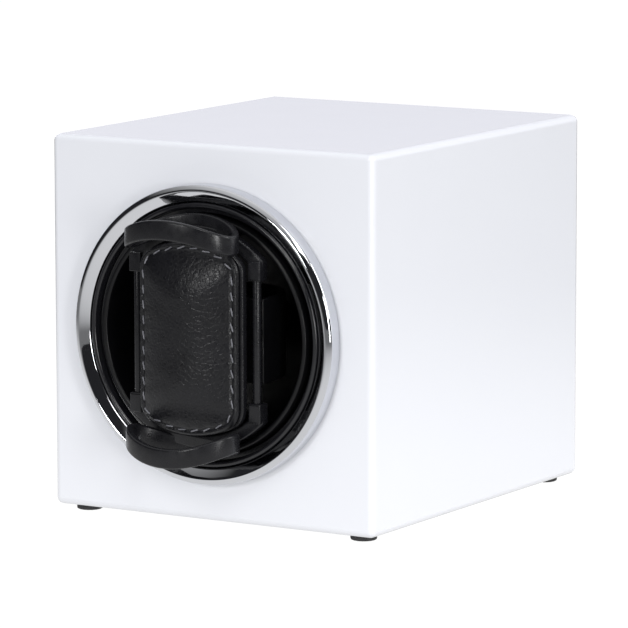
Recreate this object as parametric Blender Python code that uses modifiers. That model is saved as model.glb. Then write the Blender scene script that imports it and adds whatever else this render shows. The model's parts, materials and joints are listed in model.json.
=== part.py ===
"""Watch winder box: a lacquered cabinet with a turning cup that carries a sprung watch holder.

Metres, +Z up. The front faces -Y and the origin is on the ground, at the middle of the whole object's
box. Most parts are drawn in a front frame, whose axes are x to the right, y up and z forward, with its
origin where the cup's axis meets the cabinet's front face.
"""
import math

import bmesh
import bpy
from mathutils import Matrix

# Cabinet
BODY_WIDTH = 0.120
BODY_HEIGHT = 0.1212
BODY_DEPTH = 0.1355
BODY_EDGE = 0.0022
WALL = 0.006
FOOT_RADIUS = 0.0043
FOOT_SHOWS = 0.0020
FOOT_INSET = 0.0082
FOOT_SOCKET = 0.0012
GAP = 0.0003

# Rear of the cabinet
COVER_OUTER = 0.1298
COVER_THICK = 0.0025
CORNER_BLOCK = 0.0105
BLOCK_FRONT = 0.1120
COVER_SCREW_INSET = 0.0055

# Rings round the opening
BEZEL_OUTER = 0.0482
BEZEL_INNER = 0.0427
BEZEL_PROUD = 0.0062
SLEEVE_OUTER = 0.0441
HOLE_RADIUS = 0.0445
TRIM_OUTER = 0.0423
TRIM_INNER = 0.0388

# Turning cup and its drive
CUP_OUTER = 0.0382
CUP_INNER = 0.0364
CUP_RIM = 0.0043
CUP_DEPTH = 0.0460
CUP_FLOOR = 0.0022
SHAFT_RADIUS = 0.0030
SHAFT_END = 0.0720
PLATE_FRONT = 0.0560
PLATE_THICK = 0.0040
GEAR_FRONT = 0.0640
GEAR_THICK = 0.0050
GEAR_MODULE = 0.0010
GEAR_TEETH = 36
PINION_TEETH = 12
TOOTH_PLAY = 0.00015
BRACKET_FRONT = 0.0730
BRACKET_THICK = 0.0020
MOTOR_RADIUS = 0.0125
GEARBOX_LENGTH = 0.0150
CAN_LENGTH = 0.0200

# Watch holder
LOOP_HALF_WIDTH = 0.0188
LOOP_HALF_DEPTH = 0.01045
LOOP_FORWARD = 0.0165
LOOP_WALL = 0.0023
LOOP_HEIGHT = 0.0063
HOLDER_RADIUS = 0.0393
HOOP_OUTER = 0.0356
HOOP_INNER = 0.0315
HOOP_BACK = 0.0046
HOOP_FRONT = 0.0083
ROD_X = 0.0222
ROD_FORWARD = 0.0074
ROD_RADIUS = 0.0014
ROD_HALF = 0.0225
SOCKET_WIDTH = 0.0042
SOCKET_DEPTH = 0.0044
SOCKET_MOUTH = 0.0195
SOCKET_TOP = 0.0258
SOCKET_BORE = 0.0016
BOARD_BACK = 0.0086
BOARD_FRONT = 0.0113
BOARD_HALF_WIDTH = 0.0193
PAD_FRONT = 0.0165
PAD_HALF_WIDTH = 0.0184
PAD_HALF_HEIGHT = 0.0310
PAD_ARC = 0.0360
BOW_HALF_WIDTH = 0.0235
BOW_FRONT = 0.0057
BOW_BACK = -0.0257
BOW_WALL = 0.0022
BOW_HEIGHT = 0.0270
LEG_OUTER = 0.0360
LEG_INNER = 0.0342
LEG_SPREAD = 20.0
LEG_BACK = -0.0160
LEG_FRONT = 0.0066

# Controls, socket and vents on the rear cover, seen in the front frame
CONTROLS_UP = 0.0270
INLET_X = -0.0300
INLET_RADIUS = 0.0042
INLET_BORE = 0.0030
KNOB_X = 0.0
KNOB_NECK = 0.0035
KNOB_RADIUS = 0.0080
KNOB_LENGTH = 0.0045
KNOB_FLUTES = 18
ROCKER_X = 0.0300
ROCKER_WIDTH = 0.0130
ROCKER_HEIGHT = 0.0190
ROCKER_TILT = 10.0
VENT_UP = -0.0180
VENT_COUNT = 5
VENT_PITCH = 0.0050
VENT_LENGTH = 0.0400
VENT_WIDTH = 0.0022
CIRCUIT_FACE = 0.1150
CIRCUIT_THICK = 0.0016
CIRCUIT_POST_X = 0.0150
CIRCUIT_POST_UP = CONTROLS_UP - 0.0110
LEAD_RADIUS = 0.0009

# Places worked out from the sizes above
HOLDER_REACH = LOOP_FORWARD + LOOP_HALF_DEPTH + LOOP_WALL / 2
FACE_Y = (HOLDER_REACH - BODY_DEPTH) / 2
AXIS_Z = FOOT_SHOWS + BODY_HEIGHT / 2
GEAR_DISTANCE = GEAR_MODULE * (GEAR_TEETH + PINION_TEETH) / 2

COVER_INSIDE = -COVER_OUTER + COVER_THICK
BLOCK_BACK = COVER_OUTER - COVER_THICK - GAP
PARTS = None
CUTTERS = None


def clear_scene():
    for thing in list(bpy.data.objects):
        bpy.data.objects.remove(thing, do_unlink=True)


def new_collection(name):
    collection = bpy.data.collections.new(name)
    bpy.context.scene.collection.children.link(collection)
    return collection


def new_material(name, colour, roughness, metallic=0.0, coat=0.0):
    material = bpy.data.materials.new(name)
    material.use_nodes = True
    shader = material.node_tree.nodes["Principled BSDF"]
    shader.inputs["Base Color"].default_value = (*colour, 1.0)
    shader.inputs["Roughness"].default_value = roughness
    shader.inputs["Metallic"].default_value = metallic
    shader.inputs["Coat Weight"].default_value = coat
    return material


def new_empty(name, location, rotation=(0.0, 0.0, 0.0), parent=None):
    empty = bpy.data.objects.new(name, None)
    empty.empty_display_size = 0.01
    empty.location = location
    empty.rotation_euler = rotation
    empty.parent = parent
    PARTS.objects.link(empty)
    return empty


def front_frame(name, x=0.0, up=0.0, forward=0.0):
    """An empty in the front frame: its x is right, its y is up and its z is forward."""
    return new_empty(name, (x, FACE_Y - forward, AXIS_Z + up), (math.pi / 2, 0.0, 0.0))


def place(thing, frame, material):
    """Put an object with its parts, or with the cutters when it has no material."""
    thing.parent = frame
    if material is None:
        thing.hide_render = True
        thing.display_type = "WIRE"
        CUTTERS.objects.link(thing)
    else:
        thing.data.materials.append(material)
        PARTS.objects.link(thing)
    return thing


def add_bevel(thing, width, segments=2, angle=40.0):
    bevel = thing.modifiers.new("rounded_edges", "BEVEL")
    bevel.width = width
    bevel.segments = segments
    bevel.limit_method = "ANGLE"
    bevel.angle_limit = math.radians(angle)
    return bevel


def add_box(name, size, centre, frame, material, bevel=0.0, segments=2):
    mesh = bpy.data.meshes.new(name)
    shape = bmesh.new()
    matrix = Matrix.Translation(centre) @ Matrix.Diagonal((*size, 1.0))
    bmesh.ops.create_cube(shape, size=1.0, matrix=matrix)
    shape.to_mesh(mesh)
    shape.free()
    thing = place(bpy.data.objects.new(name, mesh), frame, material)
    if bevel > 0.0:
        add_bevel(thing, bevel, segments)
    return thing


def add_cylinder(name, radius, low, high, centre, frame, material, sides=24, bevel=0.0):
    """A cylinder along the frame's z axis, from low to high."""
    mesh = bpy.data.meshes.new(name)
    shape = bmesh.new()
    matrix = Matrix.Translation((centre[0], centre[1], (low + high) / 2))
    bmesh.ops.create_cone(
        shape, cap_ends=True, segments=sides, radius1=radius, radius2=radius, depth=high - low, matrix=matrix
    )
    shape.to_mesh(mesh)
    shape.free()
    mesh.shade_smooth()
    mesh.set_sharp_from_angle(angle=math.radians(40))
    thing = place(bpy.data.objects.new(name, mesh), frame, material)
    if bevel > 0.0:
        add_bevel(thing, bevel)
    return thing


def add_turned(name, profile, frame, material, steps=64, closed=True):
    """Turn a profile of (radius, height) points about the frame's z axis, with a Screw modifier."""
    mesh = bpy.data.meshes.new(name)
    count = len(profile)
    edges = [(i, i + 1) for i in range(count - 1)]
    if closed:
        edges.append((count - 1, 0))
    mesh.from_pydata([(radius, 0.0, height) for radius, height in profile], edges, [])
    thing = place(bpy.data.objects.new(name, mesh), frame, material)
    screw = thing.modifiers.new("turned", "SCREW")
    screw.axis = "Z"
    screw.steps = steps
    screw.render_steps = steps
    screw.use_merge_vertices = True
    screw.merge_threshold = 0.00001
    screw.use_smooth_shade = True
    return thing


def arc(radius, start, end, count, centre=(0.0, 0.0)):
    """Points on an arc, with its ends given in degrees."""
    points = []
    for i in range(count):
        angle = math.radians(start + (end - start) * i / (count - 1))
        points.append((centre[0] + radius * math.cos(angle), centre[1] + radius * math.sin(angle)))
    return points


def circle(radius, sides, centre=(0.0, 0.0)):
    return arc(radius, 0.0, 360.0 * (sides - 1) / sides, sides, centre)


def rectangle(width, height, centre=(0.0, 0.0)):
    x, y = centre
    return [
        (x - width / 2, y - height / 2),
        (x + width / 2, y - height / 2),
        (x + width / 2, y + height / 2),
        (x - width / 2, y + height / 2),
    ]


def to_mesh_object(thing, material):
    """Turn a curve object into a mesh object in the same place, with its caps welded on."""
    bpy.context.view_layer.update()
    evaluated = thing.evaluated_get(bpy.context.evaluated_depsgraph_get())
    mesh = bpy.data.meshes.new_from_object(evaluated)
    shape = bmesh.new()
    shape.from_mesh(mesh)
    bmesh.ops.remove_doubles(shape, verts=shape.verts, dist=0.000002)
    shape.to_mesh(mesh)
    shape.free()
    mesh.materials.clear()
    name = thing.name
    frame = thing.parent
    local = thing.matrix_local.copy()
    curve = thing.data
    bpy.data.objects.remove(thing, do_unlink=True)
    bpy.data.curves.remove(curve)
    made = place(bpy.data.objects.new(name, mesh), frame, material)
    made.matrix_local = local
    return made


def add_outline(name, outlines, low, high, frame, material, bevel=0.0, segments=2):
    """A flat outline with any holes, between two heights on the frame's z axis."""
    curve = bpy.data.curves.new(name, "CURVE")
    curve.dimensions = "2D"
    curve.fill_mode = "BOTH"
    curve.extrude = (high - low) / 2
    curve.render_resolution_u = 0
    for points in outlines:
        spline = curve.splines.new("POLY")
        spline.points.add(len(points) - 1)
        for point, (x, y) in zip(spline.points, points):
            point.co = (x, y, 0.0, 1.0)
        spline.use_cyclic_u = True
    thing = bpy.data.objects.new(name, curve)
    CUTTERS.objects.link(thing)
    thing.parent = frame
    thing.location = (0.0, 0.0, (high + low) / 2)
    made = to_mesh_object(thing, material)
    made.data.shade_smooth()
    made.data.set_sharp_from_angle(angle=math.radians(35))
    if bevel > 0.0:
        add_bevel(made, bevel, segments)
    return made


def combine(thing, other, operation):
    boolean = thing.modifiers.new(operation.lower(), "BOOLEAN")
    boolean.operation = operation
    boolean.object = other
    boolean.solver = "EXACT"


def cut(thing, *cutters):
    for cutter in cutters:
        combine(thing, cutter, "DIFFERENCE")


def unite(thing, *others):
    for other in others:
        combine(thing, other, "UNION")


def make_cabinet(world, front, lacquer):
    """The lacquered case: six walls with a round hole in front and an open back."""
    centre = (0.0, FACE_Y + BODY_DEPTH / 2, AXIS_Z)
    size = (BODY_WIDTH, BODY_DEPTH, BODY_HEIGHT)
    shell = add_box("cabinet_shell", size, centre, world, lacquer, BODY_EDGE, 3)
    inner_width = BODY_WIDTH - 2 * WALL
    inner_height = BODY_HEIGHT - 2 * WALL
    cavity_size = (inner_width, inner_height, BODY_DEPTH)
    cavity = add_box("cavity_cutter", cavity_size, (0.0, 0.0, -WALL - BODY_DEPTH / 2), front, None)
    hole = add_cylinder("hole_cutter", HOLE_RADIUS, -WALL - 0.002, 0.002, (0, 0), front, None, 72)
    cut(shell, cavity, hole)
    side = CORNER_BLOCK + WALL / 2
    for index, (x, y) in enumerate(cover_screw_places()):
        centre_x = math.copysign(inner_width / 2 + WALL / 2 - side / 2, x)
        centre_y = math.copysign(inner_height / 2 + WALL / 2 - side / 2, y)
        size = (side, side, BLOCK_BACK - BLOCK_FRONT)
        centre = (centre_x, centre_y, -(BLOCK_BACK + BLOCK_FRONT) / 2)
        unite(shell, add_box("corner_block_%d" % (index + 1), size, centre, front, None))
    for index, (x, y) in enumerate(foot_places()):
        name = "foot_cutter_%d" % (index + 1)
        socket = new_empty(name + "_place", (x, y, FOOT_SHOWS))
        cut(shell, add_cylinder(name, FOOT_RADIUS + GAP, -0.002, FOOT_SOCKET, (0, 0), socket, None, 16))
    low = -BLOCK_BACK - 0.001
    high = -BLOCK_FRONT - 0.004
    for index, place_xy in enumerate(cover_screw_places()):
        name = "screw_hole_%d" % (index + 1)
        cut(shell, add_cylinder(name, 0.0016, low, high, place_xy, front, None, 12))


def foot_places():
    places = []
    for y in (FACE_Y + FOOT_INSET, FACE_Y + BODY_DEPTH - FOOT_INSET):
        for x in (FOOT_INSET - BODY_WIDTH / 2, BODY_WIDTH / 2 - FOOT_INSET):
            places.append((x, y))
    return places


def make_feet(rubber):
    names = ("foot_front_left", "foot_front_right", "foot_rear_left", "foot_rear_right")
    top = FOOT_SHOWS + FOOT_SOCKET - GAP
    rim = 0.0006
    profile = [(0.0, top), (FOOT_RADIUS, top)]
    profile += arc(rim, 0.0, -90.0, 3, (FOOT_RADIUS - rim, rim))
    profile += [(0.0, 0.0)]
    for name, (x, y) in zip(names, foot_places()):
        frame = new_empty(name + "_place", (x, y, 0.0))
        add_turned(name, profile, frame, rubber, 16, closed=False)


def cover_screw_places():
    x = BODY_WIDTH / 2 - WALL - COVER_SCREW_INSET
    y = BODY_HEIGHT / 2 - WALL - COVER_SCREW_INSET
    return [(-x, y), (x, y), (-x, -y), (x, -y)]


def make_cover_screw(name, x, y, frame, steel):
    """A pan-head screw with a cross slot, which holds the rear cover to a corner block."""
    radius = 0.0029
    top = 0.0017
    shank = 0.0012
    length = 0.0120
    profile = [(0.0, top), (radius * 0.6, top)]
    profile += arc(radius * 0.4, 80.0, 0.0, 3, (radius * 0.6, top - radius * 0.4))
    profile += [(radius, 0.0), (shank, 0.0), (shank, -length), (0.0, -length - shank)]
    outward = new_empty(name + "_place", (x, y, -COVER_OUTER - GAP), (math.pi, 0.0, 0.0), frame)
    screw = add_turned(name, profile, outward, steel, 14, closed=False)
    cut_cross(screw, radius * 1.15, radius * 0.24, top, top, outward)


def cut_cross(screw, length, width, depth, top, frame):
    """Cut a cross slot of half the given depth into a screw's head."""
    for index, (long_x, long_y) in enumerate(((length, width), (width, length))):
        slot = add_box(screw.name + "_slot_%d" % index, (long_x, long_y, depth), (0, 0, top), frame, None)
        cut(screw, slot)


def make_rear_cover(front, plastic, steel):
    """The rear cover, its screws, and the holes for the socket, the switches and the air."""
    outlines = [rectangle(BODY_WIDTH - 2 * WALL - 2 * GAP, BODY_HEIGHT - 2 * WALL - 2 * GAP)]
    for x, y in cover_screw_places():
        outlines.append(circle(0.0019, 12, (x, y)))
    outlines.append(circle(INLET_RADIUS + GAP, 24, (INLET_X, CONTROLS_UP)))
    outlines.append(circle(KNOB_NECK + 0.0004, 24, (KNOB_X, CONTROLS_UP)))
    outlines.append(rectangle(ROCKER_WIDTH + 2 * GAP, ROCKER_HEIGHT + 2 * GAP, (ROCKER_X, CONTROLS_UP)))
    for index in range(VENT_COUNT):
        up = VENT_UP - index * VENT_PITCH
        outlines.append(slot_outline(VENT_LENGTH, VENT_WIDTH, (0.0, up)))
    add_outline("rear_cover", outlines, -COVER_OUTER, -COVER_OUTER + COVER_THICK, front, plastic)
    for index, (x, y) in enumerate(cover_screw_places()):
        name = "cover_screw_%d" % (index + 1)
        make_cover_screw(name, x, y, front, steel)


def slot_outline(length, width, centre):
    """A slot with round ends, lying along x."""
    reach = length / 2 - width / 2
    right = arc(width / 2, -90.0, 90.0, 5, (centre[0] + reach, centre[1]))
    left = arc(width / 2, 90.0, 270.0, 5, (centre[0] - reach, centre[1]))
    return right + left


def make_rings(front, chrome, plastic):
    """The chrome bezel on the face and the black trim ring clamped behind it."""
    bezel = [(BEZEL_OUTER, 0.0026), (BEZEL_OUTER, GAP), (SLEEVE_OUTER, GAP), (SLEEVE_OUTER, GAP - WALL)]
    bezel += [(BEZEL_INNER, GAP - WALL), (BEZEL_INNER, 0.0042), (0.0430, 0.0052), (0.0439, 0.0060)]
    bezel += [(0.0453, BEZEL_PROUD), (0.0466, 0.0057), (0.0478, 0.0042)]
    add_turned("bezel_ring", bezel, front, chrome, 72)
    seat = -WALL - GAP
    back = seat - 0.0022
    flange = 0.0520
    groove = 0.0405
    floor = 0.0012
    trim = [(TRIM_OUTER, seat), (flange, seat), (flange, back), (TRIM_INNER, back), (TRIM_INNER, floor)]
    trim += [(groove, floor), (0.0407, 0.0042), (0.0411, 0.0047), (0.0419, 0.0047), (TRIM_OUTER, 0.0040)]
    add_turned("trim_ring", trim, front, plastic, 64)


def make_cup(drum, plastic, steel, pale_plastic):
    """The cup, its shaft and gear: all of it turns about the frame's z axis."""
    corner = 0.0030
    back = -CUP_DEPTH
    floor = back + CUP_FLOOR
    hub_bore = 0.0036
    cup = [(CUP_OUTER, CUP_RIM - 0.0006)]
    cup += arc(corner, 0.0, -90.0, 3, (CUP_OUTER - corner, back + corner))
    cup += [(hub_bore, back), (hub_bore, floor)]
    cup += arc(corner, -90.0, 0.0, 3, (CUP_INNER - corner, floor + corner))
    cup += [(CUP_INNER, CUP_RIM - 0.0006), ((CUP_INNER + CUP_OUTER) / 2, CUP_RIM)]
    add_turned("drum_cup", cup, drum, plastic, 64)
    flange = back - GAP
    shaft = [(0.0, flange - 0.0120), (0.0020, flange - 0.0110), (0.0020, flange), (0.0110, flange)]
    shaft += [(0.0110, flange - 0.0025), (SHAFT_RADIUS, flange - 0.0025), (SHAFT_RADIUS, -SHAFT_END)]
    shaft += [(0.0, -SHAFT_END)]
    add_turned("drum_shaft", shaft, drum, steel, 20, closed=False)
    head = floor + GAP
    top = head + 0.0022
    screw = [(0.0, top), (0.0034, top), (0.0046, head + 0.0014), (0.0050, head)]
    screw += [(0.0017, head), (0.0017, flange - 0.0095), (0.0, flange - 0.0105)]
    hub_screw = add_turned("hub_screw", screw, drum, steel, 18, closed=False)
    cut_cross(hub_screw, 0.0060, 0.0011, 0.0024, top, drum)
    gear_outlines = [tooth_outline(GEAR_TEETH, 0.0), circle(SHAFT_RADIUS + GAP, 20)]
    for centre in arc(0.0105, 45.0, 315.0, 4):
        gear_outlines.append(circle(0.0038, 10, centre))
    add_outline("drum_gear", gear_outlines, -GEAR_FRONT - GEAR_THICK, -GEAR_FRONT, drum, pale_plastic)


def tooth_outline(teeth, turn):
    """A spur gear's outline. Each tooth is a trapezium, and turn is a share of one tooth's pitch."""
    pitch_radius = GEAR_MODULE * teeth / 2
    tip = pitch_radius + 0.9 * GEAR_MODULE
    root = pitch_radius - 1.15 * GEAR_MODULE
    step = 2 * math.pi / teeth
    half_pitch = step / 4 - TOOTH_PLAY / pitch_radius
    points = []
    for index in range(teeth):
        middle = (index + turn) * step
        for radius, angle in (
            (root, middle - half_pitch * 1.55), (tip, middle - half_pitch * 0.45),
            (tip, middle + half_pitch * 0.45), (root, middle + half_pitch * 1.55),
        ):
            points.append((radius * math.cos(angle), radius * math.sin(angle)))
    return points


def make_drive(front, motor, plastic, steel, grey_metal, brass):
    """The fixed plate with the shaft's bush, and the geared motor on a bracket behind the gear."""
    bush_outer = 0.0055
    plate_back = -PLATE_FRONT - PLATE_THICK
    outlines = [rectangle(BODY_WIDTH - 2 * WALL - 2 * GAP, BODY_HEIGHT - 2 * WALL - 2 * GAP)]
    outlines += [circle(bush_outer + GAP, 20)]
    add_outline("chassis_plate", outlines, plate_back, -PLATE_FRONT, front, plastic)
    bore = SHAFT_RADIUS + 0.00015
    collar = 0.0080
    bush_back = plate_back - 0.0018
    bush_front = -PLATE_FRONT + 0.0020
    bush = [(bush_outer, bush_back), (bore, bush_back), (bore, bush_front), (collar, bush_front)]
    bush += [(collar, -PLATE_FRONT + GAP), (bush_outer, -PLATE_FRONT + GAP)]
    add_turned("shaft_bush", bush, front, brass, 20)
    for index, (x, y) in enumerate(((-0.0230, -0.0140), (0.0230, -0.0140), (0.0, -0.0430))):
        name = "bracket_post_%d" % (index + 1)
        add_cylinder(name, 0.0030, -BRACKET_FRONT + GAP, plate_back - GAP, (x, y), front, steel, 14)
    right_side = [(0.0070, -0.0490), (0.0280, -0.0200), (0.0280, -0.0080)]
    bracket = right_side + [(-x, y) for x, y in reversed(right_side)]
    outlines = [bracket, circle(0.0040, 16, (0.0, -GEAR_DISTANCE))]
    back = -BRACKET_FRONT - BRACKET_THICK
    add_outline("motor_bracket", outlines, back, -BRACKET_FRONT, front, grey_metal)
    high = back - GAP
    low = high - GEARBOX_LENGTH
    gearbox = [(0.0, high - 0.0060), (0.0019, high - 0.0060), (0.0019, high), (MOTOR_RADIUS, high)]
    gearbox += [(MOTOR_RADIUS, low), (0.0, low)]
    add_turned("motor_gearbox", gearbox, motor, grey_metal, 24, closed=False)
    can_high = low - GAP
    can_low = can_high - CAN_LENGTH
    can = [(0.0, can_high), (0.0115, can_high), (0.0115, can_low + 0.0010), (0.0105, can_low)]
    can += [(0.0040, can_low), (0.0040, can_low - 0.0015), (0.0, can_low - 0.0015)]
    add_turned("motor_can", can, motor, steel, 24, closed=False)
    teeth = [tooth_outline(PINION_TEETH, pinion_turn())]
    gear_front = -GEAR_FRONT + GAP
    pinion = add_outline("motor_pinion", teeth, gear_front - GEAR_THICK, gear_front, motor, brass)
    ends = (high - 0.0056, gear_front + 0.0007)
    unite(pinion, add_cylinder("pinion_shaft_shape", 0.0016, *ends, (0, 0), motor, None, 14))


def pinion_turn():
    """The pinion stands below the gear, so a gap must face straight up where a gear tooth points down."""
    down_on_gear = (270.0 / 360.0 * GEAR_TEETH) % 1.0
    up_on_pinion = (90.0 / 360.0 * PINION_TEETH) % 1.0
    return up_on_pinion + down_on_gear + 0.5


def make_controls(front, plastic, dark_metal, green, pale_plastic, leads):
    """The circuit board with its power socket and mode switch, its posts, and the rocker switch."""
    board_low = -CIRCUIT_FACE - CIRCUIT_THICK
    parts_top = board_low - GAP
    outlines = [rectangle(0.0780, 0.0300, (0.0, CONTROLS_UP))]
    for index, x in enumerate((-CIRCUIT_POST_X, CIRCUIT_POST_X)):
        outlines.append(circle(0.0016, 12, (x, CIRCUIT_POST_UP)))
        name = "board_post_%d" % (index + 1)
        peg_top = -CIRCUIT_FACE + 0.0012
        post = [(0.0, peg_top), (0.0012, peg_top), (0.0012, parts_top), (0.0030, parts_top)]
        post += [(0.0030, COVER_INSIDE + GAP), (0.0, COVER_INSIDE + GAP)]
        frame = front_frame(name + "_place", x, CIRCUIT_POST_UP)
        add_turned(name, post, frame, pale_plastic, 14, closed=False)
    add_outline("circuit_board", outlines, board_low, -CIRCUIT_FACE, front, green)
    make_inlet(parts_top, dark_metal)
    make_mode_switch(parts_top, dark_metal, plastic)
    make_rocker(plastic)
    make_lead(board_low, leads)


def make_inlet(parts_top, dark_metal):
    """The power socket: a block on the circuit board, and a barrel with a pin in it."""
    frame = front_frame("inlet_place", INLET_X, CONTROLS_UP)
    base = COVER_INSIDE + GAP
    mouth = -COVER_OUTER - 0.0004
    size = (0.0110, 0.0120, parts_top - base)
    inlet = add_box("dc_inlet", size, (0, 0, (parts_top + base) / 2), frame, dark_metal, 0.0004, 1)
    unite(inlet, add_cylinder("inlet_barrel", INLET_RADIUS, mouth, base + 0.0010, (0, 0), frame, None))
    cut(inlet, add_cylinder("inlet_bore", INLET_BORE, mouth - 0.001, mouth + 0.0090, (0, 0), frame, None))
    unite(inlet, add_cylinder("inlet_pin", 0.0009, mouth + 0.0006, mouth + 0.0095, (0, 0), frame, None, 12))


def make_mode_switch(parts_top, dark_metal, plastic):
    """The mode switch with its threaded neck, and the knob whose stem turns in it."""
    frame = front_frame("mode_knob_axis", KNOB_X, CONTROLS_UP)
    height = 0.0060
    size = (0.0120, 0.0120, height)
    switch = add_box("mode_switch", size, (0, 0, parts_top - height / 2), frame, dark_metal, 0.0004, 1)
    neck_end = -COVER_OUTER - 0.0002
    unite(switch, add_cylinder("switch_neck", KNOB_NECK, neck_end, parts_top - 0.0047, (0, 0), frame, None))
    ends = (neck_end - 0.0018, parts_top - 0.0032)
    cut(switch, add_cylinder("switch_socket", 0.0024, *ends, (0, 0), frame, None))
    inner = neck_end - 0.0004
    outer = inner - KNOB_LENGTH
    steps = KNOB_FLUTES * 4
    outline = []
    for index in range(steps):
        angle = 2 * math.pi * index / steps
        radius = KNOB_RADIUS - 0.00035 * (1 - math.cos(KNOB_FLUTES * angle)) / 2
        outline.append((radius * math.cos(angle), radius * math.sin(angle)))
    knob = add_outline("mode_knob", [outline], outer, inner, frame, plastic)
    unite(knob, add_cylinder("knob_stem", 0.0020, inner - 0.001, parts_top - 0.0042, (0, 0), frame, None, 16))
    cut(knob, add_box("knob_groove", (0.0010, 0.0060, 0.0010), (0.0, 0.0045, outer), frame, None))


def make_rocker(plastic):
    """The power switch: a fixed frame through the cover and a rocker that tilts on a level axis."""
    frame = front_frame("rocker_axis", ROCKER_X, CONTROLS_UP, -COVER_OUTER - 0.0002)
    lip = 0.0028
    size = (ROCKER_WIDTH + lip, ROCKER_HEIGHT + lip, 0.0010)
    flange = add_box("rocker_frame", size, (0, 0, -0.0005 - GAP), frame, plastic)
    size = (ROCKER_WIDTH, ROCKER_HEIGHT, 0.0115)
    unite(flange, add_box("rocker_body_shape", size, (0.0, 0.0, 0.0050), frame, None))
    cut(flange, add_box("rocker_well", (0.0092, 0.0154, 0.0120), (0.0, 0.0, 0.0020), frame, None))
    tilt = math.radians(ROCKER_TILT)
    upper = [(0.0, -0.0012), (0.0070, -0.0024), (0.0072, 0.0006), (0.0020, 0.0048)]
    outline = upper + [(-up, forward) for up, forward in reversed(upper[1:])]
    turned = []
    for up, forward in outline:
        new_up = up * math.cos(tilt) - forward * math.sin(tilt)
        new_forward = up * math.sin(tilt) + forward * math.cos(tilt)
        turned.append((new_up, new_forward))
    side = new_empty("rocker_side", (0.0, 0.0, 0.0), (math.pi / 2, 0.0, math.pi / 2), frame)
    add_outline("power_rocker", [turned], -0.0043, 0.0043, side, plastic, 0.0003, 1)


def make_lead(board_low, leads):
    """The motor's lead, held at both ends: from the foot of the circuit board to the motor's end."""
    motor_end = -BRACKET_FRONT - BRACKET_THICK - GEARBOX_LENGTH - CAN_LENGTH - 3 * GAP - 0.0015
    knots = [(0.0250, CONTROLS_UP - 0.0155, board_low + 0.0010), (0.0255, 0.0040, -0.1150)]
    knots += [(0.0200, -0.0080, -0.1162), (0.0105, -0.0170, motor_end - 0.0030)]
    knots += [(0.0070, -0.0200, motor_end - 0.0016)]
    curve = bpy.data.curves.new("motor_lead", "CURVE")
    curve.dimensions = "3D"
    curve.bevel_depth = LEAD_RADIUS
    curve.bevel_resolution = 1
    curve.use_fill_caps = True
    curve.render_resolution_u = 0
    spline = curve.splines.new("POLY")
    points = smooth_path(knots, 6)
    spline.points.add(len(points) - 1)
    for point, co in zip(spline.points, points):
        point.co = (*co, 1.0)
    place(bpy.data.objects.new("motor_lead", curve), front_frame("lead_place"), leads)


def smooth_path(knots, steps):
    """Points on a Catmull-Rom curve through the knots."""
    ends = [knots[0]] + knots + [knots[-1]]
    points = []
    for i in range(1, len(ends) - 2):
        for step in range(steps):
            points.append(between(ends[i - 1:i + 3], step / steps))
    points.append(knots[-1])
    return points


def between(four, t):
    """The point at t, from 0 to 1, between the middle two of four knots."""
    point = []
    for a, b, c, d in zip(*four):
        square = (2 * a - 5 * b + 4 * c - d) * t ** 2
        cube = (3 * b - a - 3 * c + d) * t ** 3
        point.append(0.5 * (2 * b + (c - a) * t + square + cube))
    return tuple(point)


def band_path(count):
    """The middle line of an end loop: an oval seen from above, arched to the cup's curve."""
    points = []
    for i in range(count):
        angle = 2 * math.pi * i / count
        x = LOOP_HALF_WIDTH * math.cos(angle)
        forward = LOOP_FORWARD + LOOP_HALF_DEPTH * math.sin(angle)
        up = math.sqrt(HOLDER_RADIUS ** 2 - x ** 2) - LOOP_HEIGHT / 2
        points.append((x, -forward, up))
    return points


def make_band(name, side, frame, material):
    """A flat strip with rounded edges, bent into a closed loop. side is 1 for the top, -1 for the bottom."""
    section = bpy.data.curves.new(name + "_section", "CURVE")
    section.dimensions = "2D"
    spline = section.splines.new("POLY")
    edge = 0.0008
    half_wall = LOOP_WALL / 2 - edge
    half_height = LOOP_HEIGHT / 2 - edge
    corners = ((half_wall, half_height, 0), (-half_wall, half_height, 90))
    corners += ((-half_wall, -half_height, 180), (half_wall, -half_height, 270))
    outline = []
    for x, y, start in corners:
        outline += arc(edge, start, start + 90, 3, (x, y))
    outline.reverse()
    spline.points.add(len(outline) - 1)
    for point, (x, y) in zip(spline.points, outline):
        point.co = (x, y, 0.0, 1.0)
    spline.use_cyclic_u = True
    section_object = bpy.data.objects.new(name + "_section", section)
    CUTTERS.objects.link(section_object)
    curve = bpy.data.curves.new(name, "CURVE")
    curve.dimensions = "3D"
    curve.twist_mode = "Z_UP"
    curve.bevel_mode = "OBJECT"
    curve.bevel_object = section_object
    curve.render_resolution_u = 0
    path = curve.splines.new("POLY")
    points = band_path(48)
    path.points.add(len(points) - 1)
    for point, (x, y, up) in zip(path.points, points):
        point.co = (x, y, side * up, 1.0)
    path.use_cyclic_u = True
    thing = bpy.data.objects.new(name, curve)
    CUTTERS.objects.link(thing)
    thing.parent = frame
    thing.rotation_euler = (-math.pi / 2, 0.0, 0.0)
    made = to_mesh_object(thing, material)
    bpy.data.objects.remove(section_object, do_unlink=True)
    made.data.shade_smooth()
    made.data.set_sharp_from_angle(angle=math.radians(35))
    return made


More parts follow.
